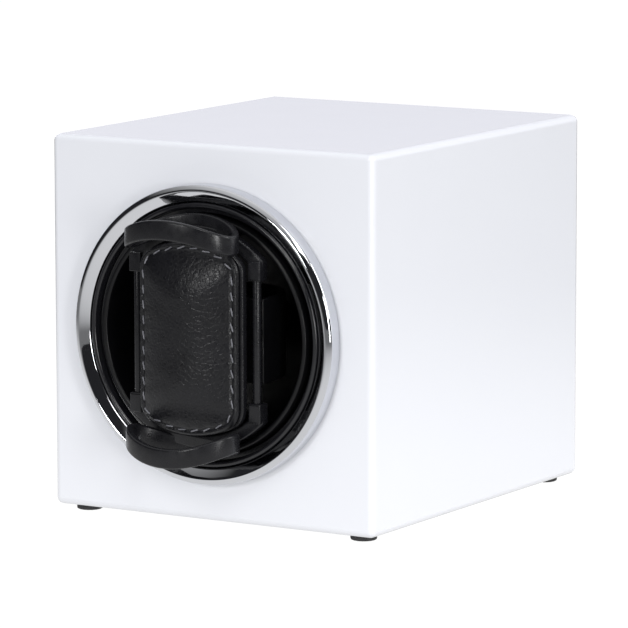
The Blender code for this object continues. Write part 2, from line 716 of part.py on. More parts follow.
def hoop_outline(side):
    """The arch behind a loop, with a leg at each end that comes down round a rod."""
    inner_x = ROD_X - SOCKET_WIDTH / 2
    outer_x = ROD_X + SOCKET_WIDTH / 2
    outer_angle = math.degrees(math.asin(SOCKET_TOP / HOOP_OUTER))
    inner_angle = math.degrees(math.acos(inner_x / HOOP_INNER))
    points = [(inner_x, SOCKET_MOUTH), (outer_x, SOCKET_MOUTH)]
    points += arc(HOOP_OUTER, outer_angle, 180 - outer_angle, 19)
    points += [(-outer_x, SOCKET_MOUTH), (-inner_x, SOCKET_MOUTH)]
    points += arc(HOOP_INNER, 180 - inner_angle, inner_angle, 15)
    return [(x, side * y) for x, y in points]


def make_end(name, side, frame, material):
    """One end of the holder: the loop, the arch with its two rod sockets, and the gripping leg."""
    end = make_band(name, side, frame, material)
    hoop = add_outline(name + "_hoop", [hoop_outline(side)], HOOP_BACK, HOOP_FRONT, frame, None, 0.0004, 2)
    unite(end, hoop)
    middle = side * (SOCKET_MOUTH + SOCKET_TOP) / 2
    length = SOCKET_TOP - SOCKET_MOUTH
    low, high = sorted((side * (SOCKET_MOUTH - 0.002), side * (SOCKET_TOP - 0.0004)))
    for index, x in enumerate((-ROD_X, ROD_X)):
        socket_name = name + "_socket_%d" % index
        size = (SOCKET_WIDTH + 0.0002, length, SOCKET_DEPTH)
        socket = add_box(socket_name, size, (x, middle, ROD_FORWARD), frame, None, 0.0004, 2)
        unite(end, socket)
        upright = new_empty(socket_name + "_place", (x, 0.0, ROD_FORWARD), (-math.pi / 2, 0.0, 0.0), frame)
        bore = add_cylinder(socket_name + "_bore", SOCKET_BORE, low, high, (0, 0), upright, None, 16)
        cut(end, bore)
    leg = arc(LEG_OUTER, 90 - LEG_SPREAD, 90 + LEG_SPREAD, 7)
    leg += arc(LEG_INNER, 90 + LEG_SPREAD, 90 - LEG_SPREAD, 7)
    leg = [(x, side * y) for x, y in leg]
    unite(end, add_outline(name + "_leg", [leg], LEG_BACK, LEG_FRONT, frame, None))


def pad_outline(half_width, half_height, arc_radius, corner):
    """Upright sides, arched top and bottom, and round corners."""
    rise = arc_radius - math.sqrt(arc_radius ** 2 - half_width ** 2)
    side_top = half_height - rise
    centre = half_height - arc_radius
    edge_angle = math.degrees(math.asin((half_width - corner) / arc_radius))
    top = arc(arc_radius, 90 - edge_angle, 90 + edge_angle, 9, (0.0, centre))
    start = (half_width, side_top - corner)
    bend = (half_width, side_top)
    quarter = []
    for i in range(5):
        t = i / 5
        x = (1 - t) ** 2 * start[0] + 2 * t * (1 - t) * bend[0] + t * t * top[0][0]
        y = (1 - t) ** 2 * start[1] + 2 * t * (1 - t) * bend[1] + t * t * top[0][1]
        quarter.append((x, y))
    upper = quarter + top + [(-x, y) for x, y in reversed(quarter)]
    lower = [(-x, -y) for x, y in upper]
    return upper + lower


def bow_outline(half_width, back, front):
    """Half an ellipse from side to side round the back, closed by a straight front."""
    points = [(half_width, front)]
    for x, y in arc(1.0, 0.0, 180.0, 15):
        points.append((half_width * x, back * y))
    points.append((-half_width, front))
    return points


def make_holder(holder, plastic, steel, leather):
    """The rods, the bow behind them and the padded board in front."""
    for name, x in (("holder_rod_left", -ROD_X), ("holder_rod_right", ROD_X)):
        upright = new_empty(name + "_place", (x, 0.0, ROD_FORWARD), (-math.pi / 2, 0.0, 0.0), holder)
        add_cylinder(name, ROD_RADIUS, -ROD_HALF, ROD_HALF, (0, 0), upright, steel, 16, 0.0002)
    outer = bow_outline(BOW_HALF_WIDTH, BOW_BACK, BOW_FRONT)
    inner = bow_outline(BOW_HALF_WIDTH - BOW_WALL, BOW_BACK + BOW_WALL, BOW_FRONT - BOW_WALL)
    plan = new_empty("bow_plan", (0.0, 0.0, 0.0), (math.pi / 2, 0.0, 0.0), holder)
    add_outline("holder_bow", [outer, inner], -BOW_HEIGHT / 2, BOW_HEIGHT / 2, plan, plastic, 0.0004, 1)
    outline = pad_outline(BOARD_HALF_WIDTH, PAD_HALF_HEIGHT - 0.0002, PAD_ARC, 0.0042)
    board = add_outline("pad_board", [outline], BOARD_BACK, BOARD_FRONT, holder, plastic, 0.0004, 1)
    ends = (BOW_FRONT + GAP, BOARD_BACK + 0.001)
    for index, y in enumerate((-0.0070, 0.0070)):
        unite(board, add_cylinder("board_peg_%d" % index, 0.0028, *ends, (0, y), holder, None, 16))
    outline = pad_outline(PAD_HALF_WIDTH, PAD_HALF_HEIGHT, PAD_ARC, 0.0045)
    add_outline("leather_pad", [outline], BOARD_FRONT + GAP, PAD_FRONT, holder, leather, 0.0022, 2)


def main():
    global PARTS, CUTTERS
    clear_scene()
    PARTS = new_collection("watch_winder_box")
    CUTTERS = new_collection("watch_winder_box_cutters")

    lacquer = new_material("white_lacquer", (0.86, 0.86, 0.89), 0.10, coat=1.0)
    chrome = new_material("chrome", (0.85, 0.86, 0.88), 0.04, 1.0)
    black = new_material("black_plastic", (0.012, 0.012, 0.014), 0.28)
    rubber = new_material("rubber", (0.015, 0.015, 0.016), 0.75)
    steel = new_material("steel", (0.55, 0.56, 0.58), 0.28, 1.0)
    zinc = new_material("zinc_plate", (0.45, 0.46, 0.48), 0.45, 1.0)
    brass = new_material("brass", (0.70, 0.52, 0.24), 0.32, 1.0)
    white_plastic = new_material("white_plastic", (0.80, 0.79, 0.74), 0.40)
    board_green = new_material("board_green", (0.02, 0.16, 0.07), 0.35)
    leads = new_material("lead_insulation", (0.30, 0.02, 0.02), 0.45)
    leather = new_material("black_leather", (0.014, 0.014, 0.016), 0.42)
    gloss_black = new_material("gloss_black_plastic", (0.010, 0.010, 0.012), 0.15)

    world = new_empty("cabinet", (0.0, 0.0, 0.0))
    front = front_frame("front_face")
    drum = front_frame("drum_axis")
    holder = front_frame("holder_slide")
    motor = front_frame("motor_axis", 0.0, -GEAR_DISTANCE)

    make_cabinet(world, front, lacquer)
    make_feet(rubber)
    make_rear_cover(front, black, steel)
    make_rings(front, chrome, gloss_black)
    make_cup(drum, gloss_black, steel, white_plastic)
    make_drive(front, motor, black, steel, zinc, brass)
    make_controls(front, black, zinc, board_green, white_plastic, leads)
    make_holder(holder, black, gloss_black, leather)
    make_end("holder_end_top", 1, holder, gloss_black)
    make_end("holder_end_bottom", -1, holder, gloss_black)


main()
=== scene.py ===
"""Looks of the watch winder box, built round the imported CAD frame.

Metres, +Z up, the box's front towards -Y. Pieces at the front are drawn in a front frame like the CAD's:
x to the right, y up and z forward, with its origin where the cup's axis meets the cabinet's front face.
"""
import json
import math

import bmesh
import bpy
from mathutils import Matrix, Vector, noise
from mathutils.bvhtree import BVHTree
from mathutils.kdtree import KDTree

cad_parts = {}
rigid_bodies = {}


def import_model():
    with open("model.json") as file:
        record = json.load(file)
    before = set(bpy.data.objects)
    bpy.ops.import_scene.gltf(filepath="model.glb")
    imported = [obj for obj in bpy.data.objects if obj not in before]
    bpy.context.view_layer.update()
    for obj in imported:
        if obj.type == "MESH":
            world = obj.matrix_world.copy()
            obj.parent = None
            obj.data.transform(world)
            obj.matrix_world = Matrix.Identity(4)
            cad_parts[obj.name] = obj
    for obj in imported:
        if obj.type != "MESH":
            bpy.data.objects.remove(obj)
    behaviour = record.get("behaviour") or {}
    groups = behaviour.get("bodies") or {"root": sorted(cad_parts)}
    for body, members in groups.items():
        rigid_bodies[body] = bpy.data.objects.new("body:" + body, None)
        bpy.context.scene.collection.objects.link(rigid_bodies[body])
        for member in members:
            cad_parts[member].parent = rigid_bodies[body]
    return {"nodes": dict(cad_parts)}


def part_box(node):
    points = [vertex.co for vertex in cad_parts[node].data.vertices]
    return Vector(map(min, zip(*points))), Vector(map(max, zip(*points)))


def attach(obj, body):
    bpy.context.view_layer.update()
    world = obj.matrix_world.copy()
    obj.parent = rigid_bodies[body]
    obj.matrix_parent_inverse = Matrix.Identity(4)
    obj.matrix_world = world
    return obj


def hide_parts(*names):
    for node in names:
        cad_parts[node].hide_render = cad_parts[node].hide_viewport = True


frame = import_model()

NODES = frame["nodes"]


def clear_start():
    """Remove the default scene's own objects, which aren't part of the object."""
    for thing in list(bpy.data.objects):
        if thing.name in ("Cube", "Light", "Camera"):
            bpy.data.objects.remove(thing, do_unlink=True)


clear_start()
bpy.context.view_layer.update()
MM = 0.001

# Places read from the frame
CABINET_LOW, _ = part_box("cabinet_shell")
BEZEL_LOW, BEZEL_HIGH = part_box("bezel_ring")
FACE_Y = CABINET_LOW.y
AXIS_Z = (BEZEL_LOW.z + BEZEL_HIGH.z) / 2
FRONT = Matrix.Translation((0.0, FACE_Y, AXIS_Z)) @ Matrix.Rotation(math.pi / 2, 4, "X")
PAD_LOW, PAD_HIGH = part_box("leather_pad")


# ---------------------------------------------------------------- materials


class Surface:
    """A material with its Principled shader, and short ways to add procedural detail to it."""

    def __init__(self, name, colour, roughness, metallic=0.0):
        self.material = bpy.data.materials.new(name)
        self.material.use_nodes = True
        self.tree = self.material.node_tree
        self.shader = self.tree.nodes["Principled BSDF"]
        self.colour = colour
        self.set("Base Color", (*colour, 1.0))
        self.set("Roughness", roughness)
        self.set("Metallic", metallic)
        self.roughness = roughness
        coordinates = self.tree.nodes.new("ShaderNodeTexCoord")
        self.place = coordinates.outputs["Object"]
        self.bump = None

    def set(self, socket, value):
        self.shader.inputs[socket].default_value = value

    def node(self, kind, **values):
        made = self.tree.nodes.new(kind)
        for name, value in values.items():
            setattr(made, name, value)
        return made

    def link(self, output, target):
        self.tree.links.new(output, target)

    def stretched(self, scale):
        mapping = self.node("ShaderNodeMapping")
        mapping.inputs["Scale"].default_value = scale
        self.link(self.place, mapping.inputs["Vector"])
        return mapping.outputs["Vector"]

    def noise(self, scale, detail=3.0, rough=0.5, vector=None):
        made = self.node("ShaderNodeTexNoise")
        made.inputs["Scale"].default_value = scale
        made.inputs["Detail"].default_value = detail
        made.inputs["Roughness"].default_value = rough
        self.link(vector or self.place, made.inputs["Vector"])
        return made.outputs["Fac"]

    def cells(self, scale, feature="F1", randomness=1.0):
        made = self.node("ShaderNodeTexVoronoi", feature=feature)
        made.inputs["Scale"].default_value = scale
        made.inputs["Randomness"].default_value = randomness
        self.link(self.place, made.inputs["Vector"])
        return made.outputs["Distance"]

    def spread(self, value, low, high, start=0.3, end=0.7):
        """Map a texture's middle range onto low to high."""
        made = self.node("ShaderNodeMapRange")
        made.inputs["From Min"].default_value = start
        made.inputs["From Max"].default_value = end
        made.inputs["To Min"].default_value = low
        made.inputs["To Max"].default_value = high
        self.link(value, made.inputs["Value"])
        return made.outputs["Result"]

    def vary_roughness(self, value, amount):
        low = max(0.01, self.roughness - amount)
        self.link(self.spread(value, low, self.roughness + amount), self.shader.inputs["Roughness"])

    def vary_colour(self, value, other):
        mix = self.node("ShaderNodeMix", data_type="RGBA")
        mix.inputs["A"].default_value = (*self.colour, 1.0)
        mix.inputs["B"].default_value = (*other, 1.0)
        self.link(value, mix.inputs["Factor"])
        self.link(mix.outputs["Result"], self.shader.inputs["Base Color"])

    def add_bump(self, value, height, strength=1.0):
        """Bump of a real height in metres, added on top of any bump before it."""
        made = self.node("ShaderNodeBump")
        made.inputs["Strength"].default_value = strength
        made.inputs["Distance"].default_value = height
        self.link(value, made.inputs["Height"])
        if self.bump is not None:
            self.link(self.bump.outputs["Normal"], made.inputs["Normal"])
        self.bump = made
        self.link(made.outputs["Normal"], self.shader.inputs["Normal"])


def lacquer_surface():
    """White piano lacquer: a clear coat with a trace of orange peel over a faintly uneven white."""
    made = Surface("white_lacquer", (0.800, 0.812, 0.850), 0.32)
    made.set("Coat Weight", 1.0)
    made.set("Coat Roughness", 0.05)
    made.vary_colour(made.spread(made.noise(18.0, 1.0), 0.0, 1.0, 0.0, 1.0), (0.806, 0.818, 0.856))
    made.vary_roughness(made.noise(60.0), 0.03)
    made.add_bump(made.noise(420.0, 2.0), 0.000004)
    return made.material


def chrome_surface():
    """Polished chrome plate with very fine polishing marks round it."""
    made = Surface("chrome", (0.72, 0.73, 0.76), 0.045, 1.0)
    made.vary_roughness(made.noise(900.0, 4.0), 0.02)
    made.vary_colour(made.spread(made.noise(40.0), 0.0, 1.0), (0.69, 0.70, 0.73))
    made.add_bump(made.noise(260.0, 3.0), 0.000003)
    return made.material


def gloss_black_surface():
    """Moulded black plastic with a polished skin, slight waviness and dulled patches."""
    made = Surface("gloss_black_plastic", (0.008, 0.008, 0.010), 0.20)
    made.set("Specular IOR Level", 0.55)
    made.vary_colour(made.spread(made.noise(120.0), 0.0, 1.0), (0.011, 0.011, 0.013))
    made.vary_roughness(made.noise(350.0, 4.0), 0.06)
    made.add_bump(made.noise(240.0, 3.0), 0.000010)
    made.add_bump(made.noise(5200.0, 2.0), 0.0000025)
    return made.material


def cup_painted_shade_surface():
    """The plastic of the drum cup and the bow: a deeper and duller black than the rings', with painted shade
    in its colour for the shadow inside the cup and behind the pad.
    """
    made = Surface("cup_plastic_painted_shade", (0.0022, 0.0022, 0.0028), 0.34)
    made.set("Specular IOR Level", 0.30)
    made.vary_colour(made.spread(made.noise(120.0), 0.0, 1.0), (0.0034, 0.0034, 0.0042))
    made.vary_roughness(made.noise(350.0, 4.0), 0.06)
    made.add_bump(made.noise(300.0, 3.0), 0.000008)
    return made.material


def holder_surface():
    """The holder's satin black plastic."""
    made = Surface("holder_black_plastic", (0.006, 0.006, 0.0075), 0.28)
    made.set("Specular IOR Level", 0.38)
    made.vary_colour(made.spread(made.noise(150.0), 0.0, 1.0), (0.010, 0.010, 0.012))
    made.vary_roughness(made.noise(500.0, 4.0), 0.07)
    made.add_bump(made.noise(300.0, 3.0), 0.000007)
    made.add_bump(made.noise(7000.0, 2.0), 0.000002)
    return made.material


def texture_black_surface():
    """Moulded black plastic with a fine spark-eroded grain."""
    made = Surface("black_plastic", (0.016, 0.016, 0.018), 0.46)
    made.vary_colour(made.spread(made.noise(90.0), 0.0, 1.0), (0.024, 0.024, 0.027))
    made.vary_roughness(made.noise(700.0, 4.0), 0.08)
    made.add_bump(made.cells(3200.0), 0.00002, 0.7)
    made.add_bump(made.noise(900.0, 4.0), 0.00002, 0.5)
    return made.material


def leather_surface():
    """Soft black leather: pebbled grain with fine creases, and shine that varies at random across it."""
    made = Surface("black_leather", (0.005, 0.005, 0.0062), 0.32)
    made.set("Specular IOR Level", 0.36)
    grain = made.cells(1500.0, "SMOOTH_F1", 1.0)
    creases = made.cells(620.0, "DISTANCE_TO_EDGE", 1.0)
    patches = made.noise(70.0, 4.0)
    made.vary_colour(made.spread(patches, 0.0, 1.0), (0.008, 0.008, 0.010))
    made.vary_roughness(made.noise(900.0, 5.0, 0.6), 0.09)
    made.add_bump(made.noise(260.0, 4.0), 0.00005, 0.8)
    made.add_bump(made.spread(creases, 0.0, 1.0, 0.0, 0.09), 0.000035, 0.8)
    made.add_bump(made.spread(grain, 1.0, 0.0, 0.0, 0.9), 0.00006, 0.9)
    return made.material


def thread_surface():
    """Waxed polyester thread, with fine fibres."""
    made = Surface("grey_thread", (0.21, 0.21, 0.23), 0.55)
    fibres = made.noise(5200.0, 3.0)
    made.vary_colour(made.spread(made.noise(300.0), 0.0, 1.0), (0.11, 0.11, 0.125))
    made.vary_roughness(fibres, 0.1)
    made.add_bump(fibres, 0.00003)
    return made.material


def rubber_surface():
    made = Surface("rubber", (0.018, 0.018, 0.020), 0.72)
    made.vary_colour(made.spread(made.noise(300.0), 0.0, 1.0), (0.032, 0.031, 0.030))
    made.vary_roughness(made.noise(800.0, 4.0), 0.1)
    made.add_bump(made.noise(2400.0, 4.0), 0.00002)
    return made.material


def steel_surface(name="steel", colour=(0.55, 0.56, 0.58), roughness=0.28):
    """Turned metal, with marks that run round its fore and aft axis."""
    made = Surface(name, colour, roughness, 1.0)
    marks = made.noise(260.0, 5.0, 0.6, made.stretched((1.0, 14.0, 1.0)))
    darker = tuple(0.78 * channel for channel in colour)
    made.vary_colour(made.spread(made.noise(170.0), 0.0, 1.0), darker)
    made.vary_roughness(marks, 0.1)
    made.add_bump(marks, 0.000012)
    return made.material


def white_plastic_surface():
    made = Surface("white_plastic", (0.78, 0.77, 0.72), 0.40)
    made.vary_colour(made.spread(made.noise(160.0), 0.0, 1.0), (0.70, 0.69, 0.63))
    made.vary_roughness(made.noise(500.0, 4.0), 0.08)
    made.add_bump(made.noise(1500.0, 3.0), 0.00001)
    return made.material


def board_surface():
    """Solder mask over copper: pale green where tracks run under it."""
    made = Surface("board_green", (0.012, 0.13, 0.055), 0.33)
    tracks = made.cells(260.0, "DISTANCE_TO_EDGE", 0.75)
    made.vary_colour(made.spread(tracks, 1.0, 0.0, 0.02, 0.06), (0.03, 0.24, 0.10))
    made.vary_roughness(made.noise(500.0, 4.0), 0.06)
    made.add_bump(made.spread(tracks, 1.0, 0.0, 0.02, 0.06), 0.00003)
    return made.material


def lead_surface():
    made = Surface("lead_insulation", (0.32, 0.022, 0.020), 0.45)
    made.vary_colour(made.spread(made.noise(240.0), 0.0, 1.0), (0.22, 0.016, 0.016))
    made.vary_roughness(made.noise(600.0, 4.0), 0.08)
    made.add_bump(made.noise(1800.0, 3.0), 0.00001)
    return made.material


# ---------------------------------------------------------------- shapes


def smooth(piece, angle):
    """Shade a piece smoothly, except across edges sharper than an angle in degrees."""
    piece.data.shade_smooth()
    piece.data.set_sharp_from_angle(angle=math.radians(angle))


def add_piece(name, shape, body, material, replaced=(), matrix=FRONT, angle=38.0):
    """Finish a bmesh as a named piece that rides on a CAD body."""
    bmesh.ops.recalc_face_normals(shape, faces=shape.faces)
    mesh = bpy.data.meshes.new(name)
    shape.to_mesh(mesh)
    shape.free()
    piece = bpy.data.objects.new(name, mesh)
    bpy.context.scene.collection.objects.link(piece)
    piece.matrix_world = matrix
    mesh.materials.append(material)
    smooth(piece, angle)
    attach(piece, body)
    if replaced:
        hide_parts(*replaced)
    return piece


def arc(radius, start, end, count, centre=(0.0, 0.0)):
    """Points on an arc, with its ends given in degrees."""
    points = []
    for i in range(count):
        angle = math.radians(start + (end - start) * i / (count - 1))
        points.append((centre[0] + radius * math.cos(angle), centre[1] + radius * math.sin(angle)))
    return points


def rounded(corners, steps=6):
    """A closed outline whose corners (x, y, radius) are turned into arcs."""
    points = []
    count = len(corners)
    for i, (x, y, radius) in enumerate(corners):
        here = Vector((x, y))
        before = (Vector(corners[i - 1][:2]) - here).normalized()
        after = (Vector(corners[(i + 1) % count][:2]) - here).normalized()
        half = before.angle(after) / 2
        if radius == 0.0:
            points.append((x, y))
            continue
        centre = here + (before + after).normalized() * radius / math.sin(half)
        first = here + before * radius / math.tan(half) - centre
        last = here + after * radius / math.tan(half) - centre
        start = math.atan2(first.y, first.x)
        turn = math.atan2(last.y, last.x) - start
        turn = (turn + math.pi) % (2 * math.pi) - math.pi
        for step in range(steps + 1):
            angle = start + turn * step / steps
            points.append((centre.x + radius * math.cos(angle), centre.y + radius * math.sin(angle)))
    return points


def skin(shape, rings, closed=True):
    """Join rings of vertices by faces. With closed, the last ring joins the first one."""
    count = len(rings)
    size = len(rings[0])
    for i in range(count if closed else count - 1):
        here = rings[i]
        there = rings[(i + 1) % count]
        for j in range(size):
            k = (j + 1) % size
            shape.faces.new((here[j], here[k], there[k], there[j]))


def turned(profile, steps):
    """A closed profile of (radius, forward) points, in millimetres, turned about the cup's axis."""
    shape = bmesh.new()
    rings = []
    for i in range(steps):
        angle = 2 * math.pi * i / steps
        ring = []
        for radius, forward in profile:
            place = (radius * MM * math.cos(angle), radius * MM * math.sin(angle), forward * MM)
            ring.append(shape.verts.new(place))
        rings.append(ring)
    skin(shape, rings)
    return shape


# ---------------------------------------------------------------- rings and cup


# Outlines here are corners of (radius, forward, rounding) in millimetres
BEZEL_INNER = 42.7
BEZEL_SLEEVE = 44.1
TRIM_SLEEVE = 42.3
TRIM_BORE = 38.8
TRIM_FLANGE = 2.2
GROOVE_BOTTOM = 1.2
CUP_WALL = 1.8
CUP_FLOOR = 2.2
CUP_BORE = 3.6


def make_rings(chrome, plastic):
    """The chrome bezel, with a steep outer wall, and the black ring with its groove inside it."""
    outer = (BEZEL_HIGH.x - BEZEL_LOW.x) / 2 / MM
    proud = (FACE_Y - BEZEL_LOW.y) / MM
    inner = BEZEL_INNER
    behind = (FACE_Y - BEZEL_HIGH.y) / MM
    corners = [(outer, 0.3, 0.1), (outer - 0.2, 5.0, 1.2), (outer - 1.9, proud, 1.0), (inner + 2.6, 5.7, 1.2)]
    corners += [(inner, 4.3, 0.9), (inner, behind, 0.2)]
    corners += [(BEZEL_SLEEVE, behind, 0.2), (BEZEL_SLEEVE, 0.3, 0.1)]
    bezel = turned(rounded(corners, 8), 256)
    add_piece("bezel_ring_fine", bezel, "cabinet", chrome, ["bezel_ring"])
    low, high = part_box("trim_ring")
    lip = (FACE_Y - low.y) / MM
    back = (FACE_Y - high.y) / MM
    flange = (high.x - low.x) / 2 / MM
    ledge = back + TRIM_FLANGE
    corners = [(TRIM_SLEEVE, ledge, 0.2), (flange, ledge, 0.3), (flange, back, 0.3), (TRIM_BORE, back, 0.3)]
    corners += [(TRIM_BORE, GROOVE_BOTTOM, 0.4), (40.5, GROOVE_BOTTOM, 0.3)]
    corners += [(40.6, lip, 0.8), (TRIM_SLEEVE, lip, 0.8)]
    trim = turned(rounded(corners), 224)
    add_piece("trim_ring_fine", trim, "cabinet", plastic, ["trim_ring"])


def make_cup(plastic):
    """The turning cup: a rounded rim, a plain wall and a floor with a bore at its middle."""
    low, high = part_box("drum_cup")
    rim = (FACE_Y - low.y) / MM
    back = (FACE_Y - high.y) / MM
    outer = (high.x - low.x) / 2 / MM
    inner = outer - CUP_WALL
    floor = back + CUP_FLOOR
    corners = [(outer, rim, 0.7), (outer, back, 3.0), (CUP_BORE, back, 0.2), (CUP_BORE, floor, 0.2)]
    corners += [(inner, floor, 3.0), (inner, rim, 0.8)]
    cup = turned(rounded(corners), 224)
    add_piece("drum_cup_fine", cup, "drum", plastic, ["drum_cup"])


# ---------------------------------------------------------------- holder ends

HOLDER_RADIUS = 39.3
LOOP_HALF_WIDTH = 18.8
LOOP_HALF_DEPTH = 10.45
LOOP_FORWARD = 16.5
LOOP_WALL = 2.3
LOOP_HEIGHT = 6.3
ROD_X = 22.2
ROD_FORWARD = 7.4
HOOP_OUTER = 35.6
HOOP_INNER = 31.5
HOOP_BACK = 4.6
HOOP_FRONT = 8.3
SOCKET_WIDTH = 4.4
SOCKET_DEPTH = 4.4
SOCKET_MOUTH = 19.5
SOCKET_TOP = 25.8
SOCKET_BORE = 1.6
SOCKET_PROUD = 0.05
BORE_OVERRUN = 2.0
BORE_CAP = 0.4
LEG_OUTER = 36.0
LEG_INNER = 34.2
LEG_SPREAD = 20.0
LEG_BACK = -16.0
LEG_FRONT = 6.6


def loop_path(side, count):
    """The middle line of an end loop: an oval seen from above, arched to the cup's curve."""
    points = []
    for i in range(count):
        angle = 2 * math.pi * i / count
        x = LOOP_HALF_WIDTH * math.cos(angle)
        forward = LOOP_FORWARD + LOOP_HALF_DEPTH * math.sin(angle)
        up = math.sqrt(HOLDER_RADIUS ** 2 - x ** 2) - LOOP_HEIGHT / 2
        points.append(Vector((x, side * up, forward)) * MM)
    return points


def loop_shape(side):
    """A flat strip with softly rounded edges, bent into a closed loop."""
    half_wall = LOOP_WALL / 2
    half_height = LOOP_HEIGHT / 2
    corners = [(half_wall, half_height, 0.75), (-half_wall, half_height, 0.75)]
    corners += [(-half_wall, -half_height, 0.75), (half_wall, -half_height, 0.75)]
    section = rounded(corners, 5)
    path = loop_path(side, 180)
    shape = bmesh.new()
    rings = []
    for i, here in enumerate(path):
        along = (path[(i + 1) % len(path)] - path[i - 1]).normalized()
        upright = Vector((0.0, 1.0, 0.0))
        across = along.cross(upright).normalized()
        rings.append([shape.verts.new(here + across * x * MM + upright * y * MM) for x, y in section])
    skin(shape, rings)
    return shape


def extruded(outline, low, high, edge, steps=3):
    """A flat outline, in millimetres, between two heights, with its rims rounded by a shrinking offset."""
    count = len(outline)
    normals = []
    for i in range(count):
        before = Vector(outline[i]) - Vector(outline[i - 1])
        after = Vector(outline[(i + 1) % count]) - Vector(outline[i])
        out = Vector((before.y, -before.x)).normalized() + Vector((after.y, -after.x)).normalized()
        out.normalize()
        normals.append(out)
    layers = []
    for step in range(steps + 1):
        angle = math.pi / 2 * step / steps
        layers.append((low + edge * (1 - math.sin(angle)), edge * (1 - math.cos(angle))))
    layers = layers[::-1] + [(high - (z - low), inset) for z, inset in layers]
    shape = bmesh.new()
    rings = []
    for z, inset in layers:
        ring = []
        for (x, y), out in zip(outline, normals):
            ring.append(shape.verts.new(((x - out.x * inset) * MM, (y - out.y * inset) * MM, z * MM)))
        rings.append(ring)
    skin(shape, rings, closed=False)
    shape.faces.new(rings[0])
    shape.faces.new(rings[-1])
    return shape


def counterclockwise(points):
    area = 0.0
    for (x0, y0), (x1, y1) in zip(points, points[1:] + points[:1]):
        area += x0 * y1 - x1 * y0
    return points if area > 0 else points[::-1]


def hoop_outline(side):
    """The arch behind a loop, with a leg at each end that comes down round a rod."""
    inner_x = ROD_X - SOCKET_WIDTH / 2
    outer_x = ROD_X + SOCKET_WIDTH / 2
    outer_angle = math.degrees(math.asin(SOCKET_TOP / HOOP_OUTER))
    inner_angle = math.degrees(math.acos(inner_x / HOOP_INNER))
    points = [(inner_x, SOCKET_MOUTH), (outer_x, SOCKET_MOUTH)]
    points += arc(HOOP_OUTER, outer_angle, 180 - outer_angle, 61)
    points += [(-outer_x, SOCKET_MOUTH), (-inner_x, SOCKET_MOUTH)]
    points += arc(HOOP_INNER, 180 - inner_angle, inner_angle, 51)
    return counterclockwise([(x, side * y) for x, y in points])


def merge(shape, other):
    """Add another bmesh's faces to a bmesh."""
    mesh = bpy.data.meshes.new("part")
    other.to_mesh(mesh)
    other.free()
    shape.from_mesh(mesh)
    bpy.data.meshes.remove(mesh)


def bored(shape, side):
    """Drill the bores that the two rods slide in."""
    mesh = bpy.data.meshes.new("undrilled")
    shape.to_mesh(mesh)
    shape.free()
    piece = bpy.data.objects.new("undrilled", mesh)
    low = SOCKET_MOUTH - BORE_OVERRUN
    high = SOCKET_TOP - BORE_CAP
    drills = bmesh.new()
    for x in (-ROD_X, ROD_X):
        place = Matrix.Translation(Vector((x, side * (low + high) / 2, ROD_FORWARD)) * MM)
        place = place @ Matrix.Rotation(math.pi / 2, 4, "X")
        size = {"radius1": SOCKET_BORE * MM, "radius2": SOCKET_BORE * MM, "depth": (high - low) * MM}
        bmesh.ops.create_cone(drills, cap_ends=True, segments=32, matrix=place, **size)
    drill_mesh = bpy.data.meshes.new("drills")
    drills.to_mesh(drill_mesh)
    drills.free()
    drill = bpy.data.objects.new("drills", drill_mesh)
    for thing in (piece, drill):
        bpy.context.scene.collection.objects.link(thing)
    cut = piece.modifiers.new("bores", "BOOLEAN")
    cut.operation = "DIFFERENCE"
    cut.solver = "EXACT"
    cut.object = drill
    bpy.context.view_layer.update()
    result = bpy.data.meshes.new_from_object(piece.evaluated_get(bpy.context.evaluated_depsgraph_get()))
    made = bmesh.new()
    made.from_mesh(result)
    for thing in (piece, drill):
        bpy.data.objects.remove(thing, do_unlink=True)
    for spent in (mesh, drill_mesh, result):
        bpy.data.meshes.remove(spent)
    return made


def fine_end(name, side, body, plastic):
    """One end of the holder: the loop in front, the arch with its rod sockets, and the gripping leg."""
    shape = loop_shape(side)
    merge(shape, bored(extruded(hoop_outline(side), HOOP_BACK, HOOP_FRONT, 0.6), side))
    half = SOCKET_WIDTH / 2 + SOCKET_PROUD
    for x in (-ROD_X, ROD_X):
        y_mouth = side * (SOCKET_MOUTH - SOCKET_PROUD)
        y_top = side * SOCKET_TOP
        corners = [(x - half, y_mouth, 0.4), (x + half, y_mouth, 0.4)]
        corners += [(x + half, y_top, 0.6), (x - half, y_top, 0.6)]
        outline = counterclockwise(rounded(corners, 4))
        block = extruded(outline, ROD_FORWARD - SOCKET_DEPTH / 2, ROD_FORWARD + SOCKET_DEPTH / 2, 0.6)
        merge(shape, bored(block, side))
    first = 90 - LEG_SPREAD
    last = 90 + LEG_SPREAD
    leg = arc(LEG_OUTER, first, last, 31) + arc(LEG_INNER, last, first, 31)
    merge(shape, extruded(counterclockwise([(x, side * y) for x, y in leg]), LEG_BACK, LEG_FRONT, 0.4))
    add_piece(name + "_fine", shape, body, plastic, [name])


def rod_shape(radius, half):
    """An upright rod with rounded ends, about its own middle."""
    profile = rounded([(radius, half, 0.3), (0.001, half, 0.0), (0.001, -half, 0.0), (radius, -half, 0.3)], 3)
    shape = bmesh.new()
    rings = []
    steps = 32
    for i in range(steps):
        angle = 2 * math.pi * i / steps
        ring = []
        for r, y in profile:
            ring.append(shape.verts.new((r * MM * math.sin(angle), y * MM, r * MM * math.cos(angle))))
        rings.append(ring)
    skin(shape, rings)
    bmesh.ops.remove_doubles(shape, verts=shape.verts, dist=0.00001)
    return shape


